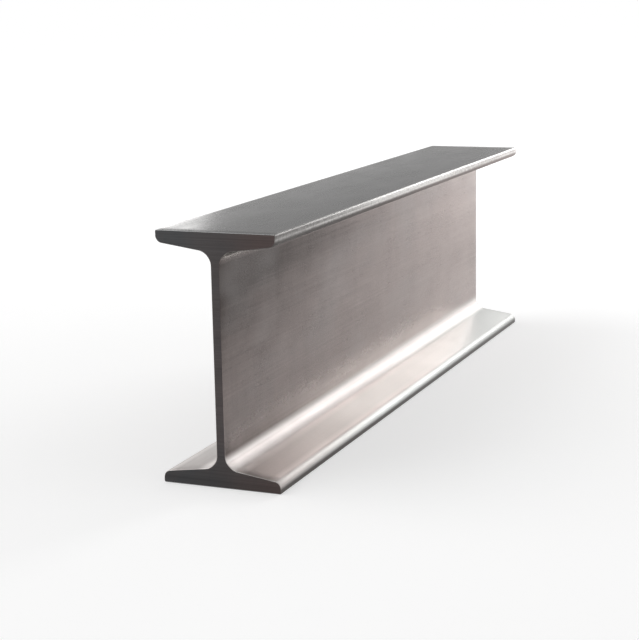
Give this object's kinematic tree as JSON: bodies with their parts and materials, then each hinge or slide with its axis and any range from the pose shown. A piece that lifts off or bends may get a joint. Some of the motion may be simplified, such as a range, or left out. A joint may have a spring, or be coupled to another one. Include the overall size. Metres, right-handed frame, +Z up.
{
  "type": "steel h-beam",
  "caption": "Short length of hot-rolled steel I-section with tapered flanges, a slender web, round roots and toes, and square sawn ends, used as a joist, lintel or post.",
  "frame": {"origin": "middle of the bottom flange's underside, at mid-length", "axes": "+X along the beam, +Y across its flanges, +Z up through its web"},
  "size_m": [0.5, 0.075, 0.15],
  "materials": {
    "rolled_steel": "clean mill finish, satin, with fine marks of rolling along the length and darker matt sawn ends"
  },
  "bodies": {
    "root": {"h_beam": "rolled_steel"}
  },
  "joints": []
}
